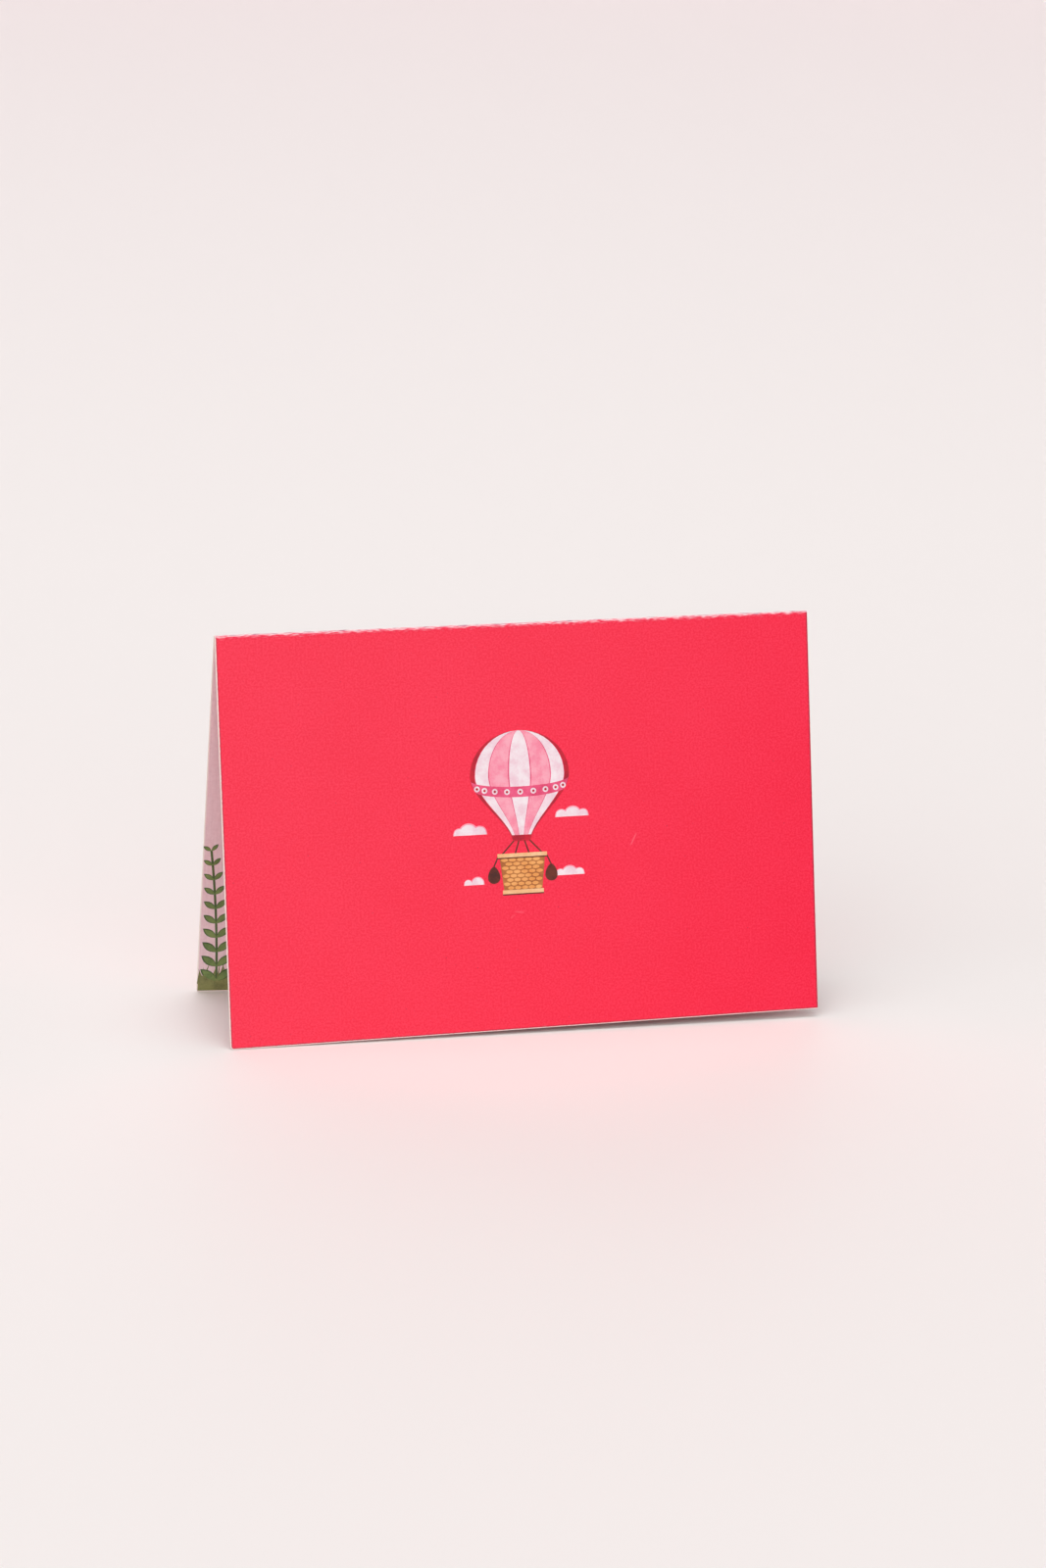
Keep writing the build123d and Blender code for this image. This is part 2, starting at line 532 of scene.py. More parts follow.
def makeWashInk(name, light, deep):
    material, tree = startMaterial("offsetWash" + name[0].upper() + name[1:])
    look = washLook
    place = addNode(tree, "ShaderNodeTexCoord").outputs["Object"]
    patch = addNode(tree, "ShaderNodeTexNoise", {
        "Vector": place, "Scale": 1 / (look["patchSize"] * mm), "Detail": 2.0})
    grain = addNode(tree, "ShaderNodeTexNoise", {
        "Vector": place, "Scale": 1 / (look["grainSize"] * mm), "Detail": 1.0})
    both = addNode(tree, "ShaderNodeMath", {
        0: grain, 1: look["grainShare"], 2: patch}, operation="MULTIPLY_ADD")
    low, high = look["pooling"]
    pooled = addNode(tree, "ShaderNodeMapRange", {
        "Value": both, "From Min": low, "From Max": high}, interpolation_type="SMOOTHSTEP")
    colour = addNode(tree, "ShaderNodeMix", {0: pooled, 6: light, 7: deep}, data_type="RGBA").outputs[2]
    shader = addNode(tree, "ShaderNodeBsdfPrincipled", {
        "Base Color": colour, "Roughness": look["roughness"], "IOR": look["ior"]})
    addNode(tree, "ShaderNodeOutputMaterial", {"Surface": shader})
    return material


coral, core = makeCoralPrint(), makeCutCore()
mauve = makeInsidePrint("coatedCardMauveOffset", mauvePrint)
coralDull = makeInsidePrint("coatedCardCoralUnvarnished", insideCoral)
inks = {name: makeWashInk(name, *tones) for name, tones in pictureInks.items()}
sheetPiece = makeCardSheet([coral, mauve, core, coralDull])
print("card sheet folded:", len(sheetPiece.data.polygons), "faces")


# Prints are thin closed films, drawn about 5 times as thick as real ink, so that layers stay apart.
filmThick = 0.01


def stampShape(art, outline, layer, ink):
    # one field of ink, from just inside the paper up to its layer
    area = sum(a[0] * b[1] - b[0] * a[1] for a, b in zip(outline, outline[1:] + outline[:1]))
    points = outline if area > 0 else outline[::-1]
    start, count = len(art["verts"]), len(points)
    art["verts"] += [(x, y, -filmThick) for x, y in points]
    art["verts"] += [(x, y, filmThick * layer) for x, y in points]
    low, high = range(start, start + count), range(start + count, start + 2 * count)
    art["faces"] += [tuple(reversed(low)), tuple(high)]
    art["faces"] += [(low[i - 1], low[i], high[i], high[i - 1]) for i in range(count)]
    art["inks"] += [ink] * (count + 2)


def stampBand(art, one, other, layer, ink):
    # one field of ink between two lines of points, as a row of quads
    count = len(one)
    along, across = Vector(one[1]) - Vector(one[0]), Vector(other[0]) - Vector(one[0])
    first, second = (one, other) if along.x * across.y > along.y * across.x else (other, one)
    start = len(art["verts"])
    for height in (-filmThick, filmThick * layer):
        art["verts"] += [(x, y, height) for x, y in (*first, *second)]
    low = [(start + k, start + count + k) for k in range(count)]
    high = [(a + 2 * count, b + 2 * count) for a, b in low]
    for k in range(count - 1):
        (a, b), (c, d) = high[k], high[k + 1]
        (e, f), (g, h) = low[k], low[k + 1]
        art["faces"] += [(a, c, d, b), (e, f, h, g), (e, g, c, a), (f, b, d, h)]
    for (a, b), (e, f), ends in ((high[0], low[0], 1), (high[-1], low[-1], -1)):
        art["faces"].append((e, a, b, f)[::ends])
    art["inks"] += [ink] * (4 * (count - 1) + 2)


def printArt(name, art, side, facing, origin):
    used = sorted(set(art["inks"]))
    kinds = [used.index(ink) for ink in art["inks"]]
    piece = newPiece(name, art["verts"], art["faces"], [inks[ink] for ink in used], kinds)
    layOnPanel(piece.data, side, facing, origin)
    return piece


def emptyArt():
    return {"verts": [], "faces": [], "inks": []}


def ring(x, y, radius, count=20):
    turns = [2 * math.pi * k / count for k in range(count)]
    return [(x + radius * math.cos(t), y + radius * math.sin(t)) for t in turns]


def bar(start, end, width):
    across = Vector((end[1] - start[1], start[0] - end[0])).normalized() * width / 2
    corners = [Vector(start) + across, Vector(end) + across, Vector(end) - across, Vector(start) - across]
    return [tuple(corner) for corner in corners]


# Front picture: a striped balloon with its basket, between small clouds, just above the panel's middle
balloon = {
    "origin": (-0.6, -46.6),  # from the fold's middle
    "top": 20.3,
    "widest": 9.4,
    "halfWidth": 12.6,
    "mouth": -5.4,
    "mouthHalf": 2.7,
    "taperShare": 0.55,  # how much of the taper is a smooth step, the rest being a cosine
    "gores": ["carmine", "blushWhite", "petalPink", "blushWhite", "petalPink", "blushWhite", "carmine"],
    "seamTurn": 0.7,  # half a seam, degrees
    "beltPlace": 7.2,
    "beltHalf": 1.3,
    "beltSag": 2.0,
    "beads": 9,
    "beadSpread": 64,  # degrees to either side
    "beadRadius": 0.72,
    "beadEye": 0.45,  # share of that radius
    "skirtHeight": 1.5,
    "skirtFoot": 0.8,  # share of the mouth
    "basketTop": -10.4,
    "basketFoot": -19.4,
    "basketTopHalf": 5.8,
    "basketFootHalf": 4.8,
    "rimHeight": 1.1,
    "rimReach": (0.5, 0.4),  # past the basket at its top and foot
    "rimLine": 0.28,
    "ropes": (-1.0, -0.35, 0.35, 1.0),  # places, as shares of the ends below
    "ropeTop": 1.4,  # below the mouth
    "ropeEnds": (0.75, 0.94),  # shares of the mouth and of the basket's top
    "ropeWidth": 0.34,
    "sandbag": (1.5, 2.1),
    "bagTaper": 0.3,
    "bagApart": 1.5,  # from the basket's top corner
    "bagDrop": 4.6,
    "bagNeck": 2.6,
    "bagRope": (1.2, 0.3),  # inward run and width
}


def envelopeHalf(y):
    # half the balloon's width at a height: a round crown, then a taper to the mouth
    if y >= balloon["widest"]:
        rise = (y - balloon["widest"]) / (balloon["top"] - balloon["widest"])
        return balloon["halfWidth"] * math.sqrt(max(0.0, 1 - rise * rise))
    fall = (balloon["widest"] - y) / (balloon["widest"] - balloon["mouth"])
    step = balloon["taperShare"]
    share = step * (1 - fall * fall * (3 - 2 * fall)) + (1 - step) * math.cos(fall * math.pi / 2)
    return balloon["mouthHalf"] + (balloon["halfWidth"] - balloon["mouthHalf"]) * share


crownRise = balloon["top"] - balloon["widest"]
goreHeights = [balloon["widest"] + crownRise * math.cos(math.radians(a)) for a in range(2, 90, 8)]
goreHeights += list(np.linspace(balloon["widest"], balloon["mouth"], 16))


def goreEdge(turn):
    # the line on the envelope at a turn about its upright axis
    return [(envelopeHalf(y) * math.sin(math.radians(turn)), y) for y in goreHeights]


def beltPoint(turn, lift):
    y = balloon["beltPlace"] + lift
    return (envelopeHalf(y) * math.sin(turn), y - balloon["beltSag"] * math.cos(turn))


def drawBalloon():
    art = emptyArt()
    step = 180 / len(balloon["gores"])
    for k, ink in enumerate(balloon["gores"]):
        stampBand(art, goreEdge(-90 + k * step), goreEdge(-90 + (k + 1) * step), 1, ink)
    seam = balloon["seamTurn"]
    for k in range(1, len(balloon["gores"])):
        turn = -90 + k * step
        stampBand(art, goreEdge(turn - seam), goreEdge(turn + seam), 2, "rosePink")
    turns = [math.radians(a) for a in range(-90, 91, 6)]
    upper = [beltPoint(t, balloon["beltHalf"]) for t in turns]
    lower = [beltPoint(t, -balloon["beltHalf"]) for t in turns]
    stampBand(art, upper, lower, 3, "rosePink")
    spread, radius = balloon["beadSpread"], balloon["beadRadius"]
    for k in range(balloon["beads"]):
        turn = math.radians(-spread + 2 * spread * k / (balloon["beads"] - 1))
        x, y = beltPoint(turn, 0.0)
        stampShape(art, ring(x, y, radius), 4, "blushWhite")
        stampShape(art, ring(x, y, balloon["beadEye"] * radius, 12), 5, "carmine")
    # skirt, ropes and basket
    mouth, half = balloon["mouth"], balloon["mouthHalf"]
    skirtFoot, skirtHalf = mouth - balloon["skirtHeight"], balloon["skirtFoot"] * half
    skirt = [(-half, mouth), (half, mouth), (skirtHalf, skirtFoot), (-skirtHalf, skirtFoot)]
    stampShape(art, skirt, 1, "carmine")
    topHalf, footHalf = balloon["basketTopHalf"], balloon["basketFootHalf"]
    top, foot, rim = balloon["basketTop"], balloon["basketFoot"], balloon["rimHeight"]
    high, low = balloon["ropeEnds"]
    for share in balloon["ropes"]:
        start = (share * high * half, mouth - balloon["ropeTop"])
        stampShape(art, bar(start, (share * low * topHalf, top), balloon["ropeWidth"]), 1, "chestnut")
    stampShape(art, [(-topHalf, top), (topHalf, top), (footHalf, foot), (-footHalf, foot)], 1, "caneBrown")
    topReach, footReach = balloon["rimReach"]
    for y, reach in ((top, topHalf + topReach), (foot, footHalf + footReach)):
        stampShape(art, bar((-reach, y), (reach, y), rim), 4, "sandTan")
        stampShape(art, bar((-reach, y - rim / 2), (reach, y - rim / 2), balloon["rimLine"]), 5, "chestnut")
    bagWidth, bagHeight = balloon["sandbag"]
    ropeRun, ropeWidth = balloon["bagRope"]
    turns = [2 * math.pi * k / 20 for k in range(20)]
    for side in (-1, 1):
        x, y = side * (topHalf + balloon["bagApart"]), top - balloon["bagDrop"]
        widths = [bagWidth * (1 - balloon["bagTaper"] * math.sin(t)) for t in turns]
        bag = [(x + w * math.cos(t), y + bagHeight * math.sin(t)) for w, t in zip(widths, turns)]
        stampShape(art, bag, 4, "chestnut")
        neck, end = (x, top - balloon["bagNeck"]), (x - side * ropeRun, top)
        stampShape(art, bar(neck, end, ropeWidth), 3, "chestnut")
    return printArt("balloonPrint", art, -1, 1, balloon["origin"])


clouds = [
    {"place": (-12.8, -4.5), "bumps": [(-3.0, 1.5), (-0.6, 2.6), (2.2, 1.9)]},
    {"place": (12.9, -1.2), "bumps": [(-2.6, 1.6), (0.3, 2.3), (2.9, 1.5)]},
    {"place": (12.2, -15.6), "bumps": [(-2.6, 1.3), (-0.2, 2.1), (2.2, 1.4)]},
    {"place": (-12.0, -16.8), "bumps": [(-1.9, 1.1), (0.5, 1.7)]},
]
cloudFoot = 0.35  # below the middles of the discs
cloudFill = 0.86  # share of the discs that is white


def cloudOutline(cloud, shrink):
    # the upper side of a row of discs, over a flat foot
    x0, y0 = cloud["place"]
    bumps = [(x, radius * shrink) for x, radius in cloud["bumps"]]
    low = min(x - radius for x, radius in bumps)
    high = max(x + radius for x, radius in bumps)
    xs = np.linspace(low, high, 40)
    tops = [max(math.sqrt(max(0.0, r * r - (x - c) ** 2)) for c, r in bumps) for x in xs]
    foot = y0 - cloudFoot * shrink
    upper = [(x0 + x, y0 + top) for x, top in zip(xs[::-1], tops[::-1])]
    return [(x0 + low, foot), (x0 + high, foot)] + upper


def drawClouds():
    art = emptyArt()
    for cloud in clouds:
        stampShape(art, cloudOutline(cloud, 1.0), 1, "petalPink")
        stampShape(art, cloudOutline(cloud, cloudFill), 2, "blushWhite")
    return printArt("cloudPrint", art, -1, 1, balloon["origin"])


def newTree(name, values):
    # a tree with one input for each of a piece's values, and one for its material
    tree = bpy.data.node_groups.new(name, "GeometryNodeTree")
    sockets = {int: "Int", float: "Float", tuple: "Vector"}
    kinds = {key: sockets[type(value)] for key, value in values.items()}
    for label, kind in {**kinds, "Material": "Material"}.items():
        tree.interface.new_socket(label, in_out="INPUT", socket_type="NodeSocket" + kind)
    tree.interface.new_socket("Mesh", in_out="OUTPUT", socket_type="NodeSocketGeometry")
    return tree, addNode(tree, "NodeGroupInput").outputs


def endTree(tree, geometry, material):
    real = addNode(tree, "GeometryNodeRealizeInstances", {"Geometry": geometry})
    painted = addNode(tree, "GeometryNodeSetMaterial", {"Geometry": real, "Material": material})
    addNode(tree, "NodeGroupOutput", {"Mesh": painted})


def growPiece(name, tree, values):
    # runs a tree once, and keeps its result as a plain mesh
    piece = bpy.data.objects.new(name, bpy.data.meshes.new(name + "Start"))
    scene.collection.objects.link(piece)
    modifier = piece.modifiers.new(name, "NODES")
    modifier.node_group = tree
    for socket in tree.interface.items_tree:
        if socket.in_out == "INPUT":
            modifier[socket.identifier] = values[socket.name]
    graph = bpy.context.evaluated_depsgraph_get()
    result = piece.evaluated_get(graph)
    mesh = bpy.data.meshes.new_from_object(result, preserve_all_data_layers=True, depsgraph=graph)
    piece.modifiers.remove(modifier)
    piece.data = mesh
    mesh.name = name
    return piece


# Basket weave: short tan canes in a brick pattern over a dark ground, narrowing to the foot
wicker = {"Width": 7.6, "Height": 6.9, "Columns": 5, "Rows": 8, "Cane": (1.72, 0.86, 0.02), "Taper": 0.021}


def wickerTree():
    tree, given = newTree("wickerCanes", wicker)
    grid = addNode(tree, "GeometryNodeMeshGrid", {
        "Size X": given["Width"], "Size Y": given["Height"],
        "Vertices X": given["Columns"], "Vertices Y": given["Rows"]})
    place = addNode(tree, "ShaderNodeSeparateXYZ", {0: addNode(tree, "GeometryNodeInputPosition")})
    lastRow = addNode(tree, "ShaderNodeMath", {0: given["Rows"], 1: 1.0}, operation="SUBTRACT")
    rowHeight = addNode(tree, "ShaderNodeMath", {0: given["Height"], 1: lastRow}, operation="DIVIDE")
    row = addNode(tree, "ShaderNodeMath", {0: place.outputs[1], 1: rowHeight}, operation="DIVIDE")
    row = addNode(tree, "ShaderNodeMath", {0: row, 1: 0.25}, operation="ADD")  # clear of the rounding step
    odd = addNode(tree, "ShaderNodeMath", {0: row, 1: 1.0}, operation="PINGPONG")
    odd = addNode(tree, "ShaderNodeMath", {0: odd}, operation="ROUND")
    lastColumn = addNode(tree, "ShaderNodeMath", {0: given["Columns"], 1: 1.0}, operation="SUBTRACT")
    pitch = addNode(tree, "ShaderNodeMath", {0: given["Width"], 1: lastColumn}, operation="DIVIDE")
    shift = addNode(tree, "ShaderNodeMath", {0: odd, 1: 0.5}, operation="SUBTRACT")
    shift = addNode(tree, "ShaderNodeMath", {0: shift, 1: pitch}, operation="MULTIPLY")
    shift = addNode(tree, "ShaderNodeMath", {0: shift, 1: 0.5}, operation="MULTIPLY")
    offset = addNode(tree, "ShaderNodeCombineXYZ", {0: shift})
    bricks = addNode(tree, "GeometryNodeSetPosition", {"Geometry": grid, "Offset": offset})
    cane = addNode(tree, "GeometryNodeMeshCone", {
        "Vertices": 12, "Radius Top": 0.5, "Radius Bottom": 0.5, "Depth": 1.0})
    canes = addNode(tree, "GeometryNodeInstanceOnPoints", {
        "Points": bricks, "Instance": cane, "Scale": given["Cane"]})
    real = addNode(tree, "GeometryNodeRealizeInstances", {"Geometry": canes})
    # sides drawn in towards the foot
    now = addNode(tree, "ShaderNodeSeparateXYZ", {0: addNode(tree, "GeometryNodeInputPosition")})
    narrow = addNode(tree, "ShaderNodeMath", {0: now.outputs[1], 1: given["Taper"]}, operation="MULTIPLY")
    drawn = addNode(tree, "ShaderNodeMath", {0: now.outputs[0], 1: narrow}, operation="MULTIPLY")
    pull = addNode(tree, "ShaderNodeCombineXYZ", {0: drawn})
    shaped = addNode(tree, "GeometryNodeSetPosition", {"Geometry": real, "Offset": pull})
    endTree(tree, shaped, given["Material"])
    return tree


# Inside of the back panel: fern fronds behind a bank of grass, in the left corner
fronds = [
    {"Root": (-70.2, -97.0, 0.0), "Bend": (-70.6, -78.0, 0.0), "Tip": (-73.0, -59.5, 0.0), "Leaflet": 5.4},
    {"Root": (-62.0, -97.0, 0.0), "Bend": (-61.0, -84.0, 0.0), "Tip": (-64.4, -69.0, 0.0), "Leaflet": 4.6},
    {"Root": (-53.0, -97.0, 0.0), "Bend": (-53.2, -89.0, 0.0), "Tip": (-50.0, -79.0, 0.0), "Leaflet": 3.8},
]
frondLook = {"Pairs": 10, "Slant": 0.85, "LeafWidth": 0.44, "TipShare": 0.4, "StemHalf": 0.3, "Film": 0.02}
frondFill = {"LeafWidth": 0.36, "StemHalf": 0.12, "Film": 0.03}  # the lighter middle of each leaflet
fillShare = 0.88  # of a leaflet's length
grassBank = {
    "from": -74.8,
    "to": -44.0,
    "foot": -99.8,
    "rise": 3.4,
    "swell": 1.4,
    "swellLength": 9.0,
    "fallLength": 4.0,  # the right end slopes down over this length
    "fallShare": 0.05,  # to this share of its height
    "bladeInset": (0.3, 2.0),  # where the blades start, from the lower left corner
}
grassBlades = {"Length": 30.4, "Spacing": 0.55, "Smallest": (0.7, 0.03, 3.0), "Largest": (1.2, 0.03, 7.5),
               "Lean": 0.32, "Seed": 9}


def frondTree():
    tree, given = newTree("leafletsOnStem", {**fronds[0], **frondLook})
    stem = addNode(tree, "GeometryNodeCurveQuadraticBezier", {
        "Resolution": 40, "Start": given["Root"], "Middle": given["Bend"], "End": given["Tip"]})
    # leaflet: a flat lens, pointed at both ends, with its root at the origin
    disc = addNode(tree, "GeometryNodeMeshCone", {
        "Vertices": 16, "Radius Top": 0.5, "Radius Bottom": 0.5, "Depth": 1.0})
    place = addNode(tree, "ShaderNodeSeparateXYZ", {0: addNode(tree, "GeometryNodeInputPosition")})
    squared = addNode(tree, "ShaderNodeMath", {
        0: place.outputs[0], 1: place.outputs[0]}, operation="MULTIPLY")
    hollow = addNode(tree, "ShaderNodeMath", {0: squared, 1: -4.0, 2: 1.0}, operation="MULTIPLY_ADD")
    clear = addNode(tree, "ShaderNodeMath", {0: hollow, 1: 0.0}, operation="MAXIMUM")
    taper = addNode(tree, "ShaderNodeMath", {0: clear}, operation="SQRT")
    lensY = addNode(tree, "ShaderNodeMath", {0: place.outputs[1], 1: taper}, operation="MULTIPLY")
    lensX = addNode(tree, "ShaderNodeMath", {0: place.outputs[0], 1: 0.5}, operation="ADD")
    lensPlace = addNode(tree, "ShaderNodeCombineXYZ", {0: lensX, 1: lensY, 2: place.outputs[2]})
    lens = addNode(tree, "GeometryNodeSetPosition", {"Geometry": disc, "Position": lensPlace})
    # pairs along the stem, smaller towards the tip
    even = addNode(tree, "GeometryNodeResampleCurve", {
        "Curve": stem, "Count": given["Pairs"]}, mode="COUNT")
    nodes = addNode(tree, "GeometryNodeCurveToPoints", {"Curve": even}, mode="EVALUATED")
    index = addNode(tree, "GeometryNodeInputIndex")
    along = addNode(tree, "ShaderNodeMath", {0: index, 1: given["Pairs"]}, operation="DIVIDE")
    size = addNode(tree, "ShaderNodeMapRange", {"Value": along, "To Min": 1.0, "To Max": given["TipShare"]})
    length = addNode(tree, "ShaderNodeMath", {0: size, 1: given["Leaflet"]}, operation="MULTIPLY")
    width = addNode(tree, "ShaderNodeMath", {0: length, 1: given["LeafWidth"]}, operation="MULTIPLY")
    scale = addNode(tree, "ShaderNodeCombineXYZ", {0: length, 1: width, 2: given["Film"]})
    growth = addNode(tree, "FunctionNodeAlignRotationToVector", {
        "Vector": nodes.outputs["Tangent"]}, axis="X", pivot_axis="Z")
    joined = addNode(tree, "GeometryNodeJoinGeometry")
    for side in (-1.0, 1.0):
        slant = addNode(tree, "ShaderNodeMath", {0: given["Slant"], 1: side}, operation="MULTIPLY")
        euler = addNode(tree, "ShaderNodeCombineXYZ", {2: slant})
        swing = addNode(tree, "FunctionNodeEulerToRotation", {0: euler})
        turned = addNode(tree, "FunctionNodeRotateRotation", {0: growth, 1: swing}, rotation_space="LOCAL")
        leaves = addNode(tree, "GeometryNodeInstanceOnPoints", {
            "Points": nodes, "Instance": lens, "Rotation": turned, "Scale": scale})
        tree.links.new(leaves.outputs[0], joined.inputs[0])
    # stem: a thin tube, pressed flat
    param = addNode(tree, "GeometryNodeSplineParameter")
    thin = addNode(tree, "ShaderNodeMapRange", {"Value": param, "To Min": 1.0, "To Max": given["TipShare"]})
    tapered = addNode(tree, "GeometryNodeSetCurveRadius", {"Curve": stem, "Radius": thin})
    profile = addNode(tree, "GeometryNodeCurvePrimitiveCircle", {
        "Resolution": 8, "Radius": given["StemHalf"]})
    tube = addNode(tree, "GeometryNodeCurveToMesh", {
        "Curve": tapered, "Profile Curve": profile, "Fill Caps": True})
    flatten = addNode(tree, "ShaderNodeCombineXYZ", {0: 1.0, 1: 1.0, 2: given["Film"]})
    spot = addNode(tree, "GeometryNodeInputPosition")
    pressed = addNode(tree, "ShaderNodeVectorMath", {0: spot, 1: flatten}, operation="MULTIPLY")
    flatStem = addNode(tree, "GeometryNodeSetPosition", {"Geometry": tube, "Position": pressed})
    tree.links.new(flatStem.outputs[0], joined.inputs[0])
    endTree(tree, joined, given["Material"])
    return tree


def bladeTree():
    tree, given = newTree("bladesAlongFoot", grassBlades)
    right = addNode(tree, "ShaderNodeCombineXYZ", {0: given["Length"]})
    foot = addNode(tree, "GeometryNodeCurvePrimitiveLine", {"End": right})
    points = addNode(tree, "GeometryNodeCurveToPoints", {
        "Curve": foot, "Length": given["Spacing"]}, mode="LENGTH")
    blade = addNode(tree, "GeometryNodeMeshCone", {
        "Vertices": 6, "Side Segments": 3, "Radius Top": 0.0, "Radius Bottom": 0.5, "Depth": 1.0})
    size = addNode(tree, "FunctionNodeRandomValue", {
        0: given["Smallest"], 1: given["Largest"], "Seed": given["Seed"]}, data_type="FLOAT_VECTOR")
    leanBack = addNode(tree, "ShaderNodeMath", {0: given["Lean"], 1: -1.0}, operation="MULTIPLY")
    lean = addNode(tree, "FunctionNodeRandomValue", {
        2: leanBack, 3: given["Lean"], "Seed": given["Seed"]}, data_type="FLOAT")
    euler = addNode(tree, "ShaderNodeCombineXYZ", {0: -math.pi / 2, 2: lean.outputs[1]})
    blades = addNode(tree, "GeometryNodeInstanceOnPoints", {
        "Points": points, "Instance": blade, "Rotation": euler, "Scale": size})
    endTree(tree, blades, given["Material"])
    return tree


def drawBank():
    # the ground that the blades stand on, with a wavy top
    art = emptyArt()
    xs = np.linspace(grassBank["from"], grassBank["to"], 60)
    swells = np.sin(2 * math.pi * (xs - grassBank["from"]) / grassBank["swellLength"])
    ends = np.clip((grassBank["to"] - xs) / grassBank["fallLength"], grassBank["fallShare"], 1)
    heights = ends * (grassBank["rise"] + grassBank["swell"] * swells)
    upper = [(x, grassBank["foot"] + height) for x, height in zip(xs, heights)]
    lower = [(x, grassBank["foot"]) for x in xs]
    stampBand(art, upper, lower, 3, "mossOlive")
    return printArt("bankPrint", art, 1, -1, (0.0, 0.0))


balloonPiece = drawBalloon()
cloudPiece = drawClouds()
canes = growPiece("wickerPrint", wickerTree(), {**wicker, "Material": inks["honeyTan"]})
basketMiddle = balloon["origin"][1] + (balloon["basketTop"] + balloon["basketFoot"]) / 2
layOnPanel(canes.data, -1, 1, (balloon["origin"][0], basketMiddle))
fern = frondTree()
fernPieces = []
for k, frond in enumerate(fronds):
    rimmed = {**frondLook, **frond, "Material": inks["fernGreen"]}
    filled = {**rimmed, **frondFill, "Leaflet": fillShare * frond["Leaflet"], "Material": inks["fernLight"]}
    for name, values in (("fernRim", rimmed), ("fernFill", filled)):
        piece = growPiece(name + str(k + 1), fern, values)
        layOnPanel(piece.data, 1, -1)
        fernPieces.append(piece)
bankPiece = drawBank()
blades = growPiece("grassPrint", bladeTree(), {**grassBlades, "Material": inks["mossOlive"]})
inset = grassBank["bladeInset"]
layOnPanel(blades.data, 1, -1, (grassBank["from"] + inset[0], grassBank["foot"] + inset[1]))
print("prints laid on the panels")

pieces = [sheetPiece, balloonPiece, cloudPiece, canes, bankPiece, blades, *fernPieces]
for piece in pieces:
    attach(piece, "root")
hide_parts("card")


# Stage: one pale sweep for floor and backdrop, with painted shade that darkens it towards its far end, and
# a faint gloss that carries the card's colour
sweep = {
    "colour": "#f4edeb",
    "farShadeColour": "#eee2e2",
    "shadeReach": (0.5, 3.0),  # metres behind the card, where the painted shade starts and ends
    "roughness": 0.5,
    "specular": 0.15,
    "half": 4.0,
    "front": -4.5,
    "bendStart": 3.0,
    "bendRadius": 1.2,
    "top": 1.3,
}


def makeSweep():
    material, tree = startMaterial("paintedSweep")
    place = addNode(tree, "ShaderNodeSeparateXYZ", {
        0: addNode(tree, "ShaderNodeTexCoord").outputs["Object"]})
    start, end = sweep["shadeReach"]
    # painted shade: darker towards the far end, as the light falls off
    falloffShare = addNode(tree, "ShaderNodeMapRange", {
        "Value": place.outputs[1], "From Min": start, "From Max": end})
    colour = addNode(tree, "ShaderNodeMix", {
        0: falloffShare, 6: sweep["colour"], 7: sweep["farShadeColour"]}, data_type="RGBA").outputs[2]
    shader = addNode(tree, "ShaderNodeBsdfPrincipled", {
        "Base Color": colour, "Roughness": sweep["roughness"], "Specular IOR Level": sweep["specular"]})
    addNode(tree, "ShaderNodeOutputMaterial", {"Surface": shader})
    turns = np.linspace(0, math.pi / 2, 25)
    profile = [(sweep["front"], 0.0)]
    bend, radius = sweep["bendStart"], sweep["bendRadius"]
    profile += [(bend + radius * math.sin(t), radius * (1 - math.cos(t))) for t in turns]
    profile.append((bend + radius, sweep["top"]))
    verts = [(side * sweep["half"], y, z) for y, z in profile for side in (-1, 1)]
    faces = [(2 * k, 2 * k + 1, 2 * k + 3, 2 * k + 2) for k in range(len(profile) - 1)]
    return newPiece("sweep", verts, faces, [material], [0] * len(faces))


makeSweep()

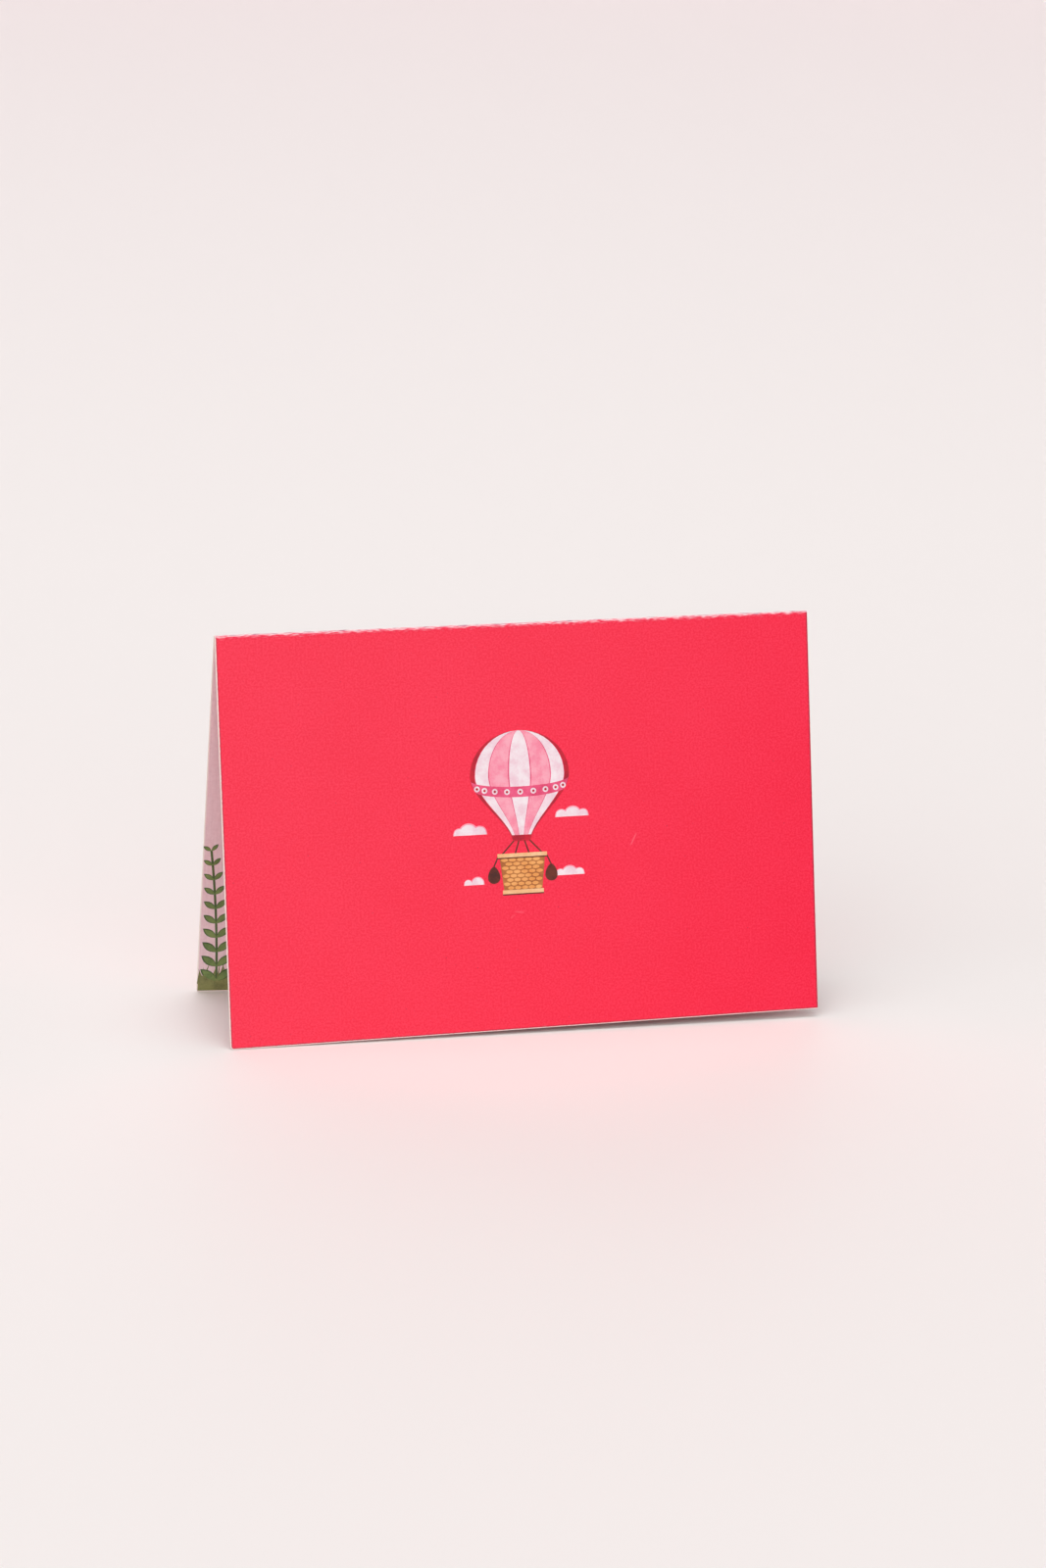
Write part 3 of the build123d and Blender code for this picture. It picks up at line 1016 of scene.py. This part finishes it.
# Light: a room with a bright ceiling, pale walls behind and on the right, a window on the left, and two
# soft panels in front. The middle panel gives the front its sheen, which fades towards the lower right.
studioLight = {  # edge and full are cosines from a glow's middle
    "ceiling": {"towards": (0.0, 0.0, 1.0), "edge": 0.9, "full": 0.98, "strength": 5.0},
    "backWall": {"towards": (0.0, 1.0, 0.3), "edge": 0.75, "full": 0.95, "strength": 1.1},
    "window": {"towards": (-1.0, 0.0, 0.25), "edge": 0.75, "full": 0.95, "strength": 0.8},
    "rightWall": {"towards": (1.0, 0.0, 0.25), "edge": 0.75, "full": 0.95, "strength": 0.25},
    "frontPanel": {"towards": (-0.2, -0.9, 0.4), "edge": 0.777, "full": 0.883, "strength": 1.05},
    "sidePanel": {"towards": (-0.7, -0.6, 0.43), "edge": 0.8, "full": 0.95, "strength": 1.25},
}


def makeLight():
    world = bpy.data.worlds.new("studioRoom")
    world.use_nodes = True
    tree = world.node_tree
    tree.nodes.clear()
    look = addNode(tree, "ShaderNodeTexCoord").outputs["Generated"]
    total = 0.0
    for glow in studioLight.values():
        towards = Vector(glow["towards"]).normalized()
        facing = addNode(tree, "ShaderNodeVectorMath", {0: look, 1: towards}, operation="DOT_PRODUCT")
        share = addNode(tree, "ShaderNodeMapRange", {
            "Value": facing.outputs["Value"], "From Min": glow["edge"], "From Max": glow["full"],
            "To Max": glow["strength"]}, interpolation_type="SMOOTHSTEP")
        total = addNode(tree, "ShaderNodeMath", {0: share, 1: total}, operation="ADD")
    room = addNode(tree, "ShaderNodeBackground", {"Color": (1.0, 1.0, 1.0, 1.0), "Strength": total})
    addNode(tree, "ShaderNodeOutputWorld", {"Surface": room})
    scene.world = world


makeLight()
print("stage and light set")

# Camera as the photograph was taken: a long lens a metre away, left of the card and a little above it
cameraFit = {"place": (-0.25575, -0.89621, 0.32636), "lens": 90.0, "azimuth": 16.084, "pitch": 16.082,
             "roll": -2.292}


def makeCamera():
    data = bpy.data.cameras.new("camera")
    data.lens = cameraFit["lens"]
    data.clip_start = 0.01
    turn, dip, roll = (math.radians(cameraFit[key]) for key in ("azimuth", "pitch", "roll"))
    ahead = Vector((math.sin(turn) * math.cos(dip), math.cos(turn) * math.cos(dip), -math.sin(dip)))
    right = ahead.cross(Vector((0, 0, 1))).normalized()
    down = ahead.cross(right)
    imageRight = math.cos(roll) * right + math.sin(roll) * down
    imageUp = math.sin(roll) * right - math.cos(roll) * down
    axes = Matrix((imageRight, imageUp, -ahead)).transposed().to_4x4()
    camera = bpy.data.objects.new("camera", data)
    camera.matrix_world = Matrix.Translation(cameraFit["place"]) @ axes
    scene.collection.objects.link(camera)
    scene.camera = camera


makeCamera()
scene.view_settings.view_transform = "Standard"
